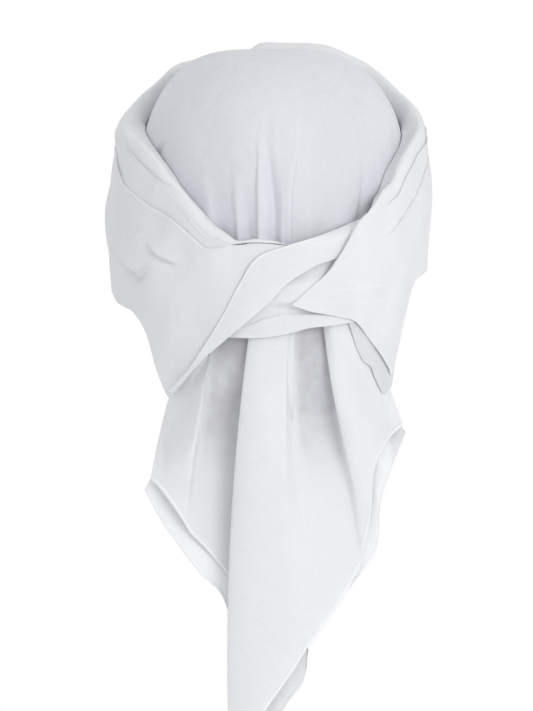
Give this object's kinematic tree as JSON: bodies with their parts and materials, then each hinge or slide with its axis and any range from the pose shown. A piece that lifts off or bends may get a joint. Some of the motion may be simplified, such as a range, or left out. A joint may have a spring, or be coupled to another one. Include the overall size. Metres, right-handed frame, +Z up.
{
  "type": "pre-tied head wrap",
  "caption": "Thin white cotton wrap shaped to a head: gathered crown, pleated wraps crossing at the back, and a long pointed tail.",
  "frame": {"origin": "middle of the head opening, level with the wearer's brow, where the wrap sits on a head", "axes": "+Z up, +Y towards the wearer's face, +X to the wearer's right; the crossing and the tail are at -Y"},
  "size_m": [0.2039, 0.2299, 0.4523],
  "materials": {
    "crown_cotton": "single layer of thin white cotton voile, plain weave, matt",
    "wrap_cotton": "folded layers of thin white cotton voile, pressed pleats, matt with a soft sheen",
    "tail_cotton": "two layers of thin white cotton voile with narrow rolled hems, matt"
  },
  "bodies": {
    "root": {"crown": "crown_cotton", "front_band": "wrap_cotton", "left_wrap": "wrap_cotton", "right_wrap": "wrap_cotton", "right_corner": "wrap_cotton", "cross_sash": "wrap_cotton", "under_sash": "wrap_cotton", "tail_front": "tail_cotton", "tail_back": "tail_cotton"}
  },
  "joints": []
}
